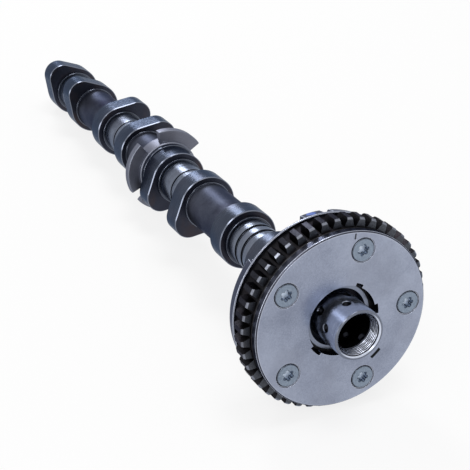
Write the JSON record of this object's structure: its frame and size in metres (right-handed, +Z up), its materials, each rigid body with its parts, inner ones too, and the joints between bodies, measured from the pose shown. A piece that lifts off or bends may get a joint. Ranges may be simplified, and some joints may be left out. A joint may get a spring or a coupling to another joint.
{
  "type": "camshaft",
  "caption": "Engine camshaft with paired cam lobes, ground bearing journals, a trigger wheel and an oil-driven vane phase adjuster carrying a toothed chain wheel.",
  "frame": {"origin": "middle of the first bearing journal, on the shaft axis", "axes": "+Y along the shaft, away from the adjuster; +Z up and +X to the right, seen from the adjuster's side"},
  "size_m": [0.0932, 0.3957, 0.0932],
  "materials": {
    "ground_steel": "ground journals and lobes over a dull shaft",
    "plated_steel": "satin",
    "wheel_steel": "matt",
    "sintered_steel": "dark sintered, slightly rough",
    "cover_steel": "satin, faintly mottled",
    "flange_steel": "turned, with a bright rim",
    "turned_steel": "turned",
    "screw_steel": "plated, slightly granular",
    "hardened_steel": "ground",
    "spring_steel": "drawn"
  },
  "bodies": {
    "shaft": {"camshaft": "ground_steel", "end_plug": "plated_steel", "trigger_wheel": "wheel_steel", "rotor": "sintered_steel", "hub_ring": "turned_steel", "lock_pin": "hardened_steel", "lock_spring": "spring_steel", "lock_cap": "plated_steel", "vane_1": "hardened_steel", "vane_2": "hardened_steel", "vane_3": "hardened_steel", "vane_4": "hardened_steel", "vane_5": "hardened_steel", "vane_spring_1": "spring_steel", "vane_spring_2": "spring_steel", "vane_spring_3": "spring_steel", "vane_spring_4": "spring_steel", "vane_spring_5": "spring_steel"},
    "adjuster_housing": {"sprocket_housing": "sintered_steel", "front_cover": "cover_steel", "rear_cover": "flange_steel", "cover_screw_1": "screw_steel", "cover_screw_2": "screw_steel", "cover_screw_3": "screw_steel", "cover_screw_4": "screw_steel", "cover_screw_5": "screw_steel"}
  },
  "joints": [
    {"name": "phase_shift", "type": "hinge", "parent": "shaft", "child": "adjuster_housing", "pos_m": [0, -0.06756, 0], "axis": [0, 1, 0], "range_deg": [0, 30]}
  ]
}
